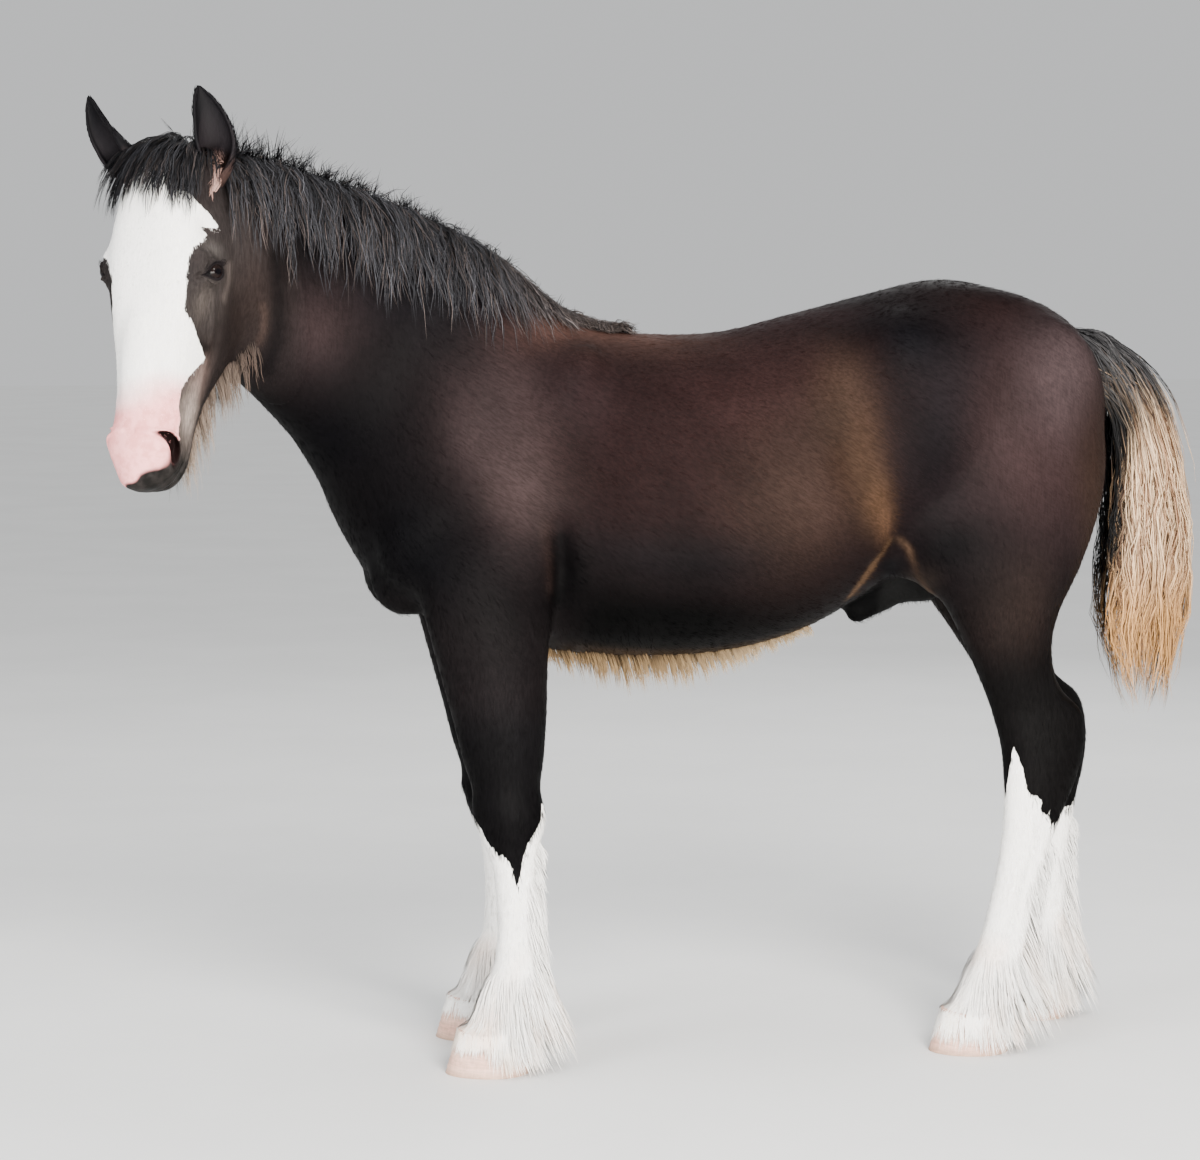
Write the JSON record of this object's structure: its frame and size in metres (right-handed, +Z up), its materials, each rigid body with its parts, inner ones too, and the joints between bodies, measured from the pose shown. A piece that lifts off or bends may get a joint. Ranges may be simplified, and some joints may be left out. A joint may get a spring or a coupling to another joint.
{
  "type": "standing cob horse",
  "caption": "Young cob horse standing square with its head turned to its left, with mane, forelock, beard, belly fringe, leg feather and a full tail.",
  "frame": {"origin": "on the floor below the middle of the model's bounding box", "axes": "+X to the tail, the horse faces -X with its left side towards -Y, +Z up from the floor"},
  "size_m": [2.1969, 0.6952, 1.9059],
  "materials": {
    "head_coat": "short coat",
    "ear_coat": "short coat",
    "eye": "wet gloss",
    "dark_coat": "short coat with long black hair",
    "body_coat": "short coat with a sheen",
    "tail_hair": "long wavy hair",
    "white_coat": "long silky feather",
    "horn": "pale horn"
  },
  "bodies": {
    "root": {"head": "head_coat", "ear_left": "ear_coat", "ear_right": "ear_coat", "eye_left": "eye", "eye_right": "eye", "neck": "dark_coat", "torso": "body_coat", "hindquarters": "body_coat", "tail": "tail_hair", "foreleg_left_upper": "dark_coat", "foreleg_right_upper": "dark_coat", "hindleg_left_upper": "dark_coat", "hindleg_right_upper": "dark_coat", "foreleg_left_lower": "white_coat", "foreleg_right_lower": "white_coat", "hindleg_left_lower": "white_coat", "hindleg_right_lower": "white_coat", "forehoof_left": "horn", "forehoof_right": "horn", "hindhoof_left": "horn", "hindhoof_right": "horn"}
  },
  "joints": []
}
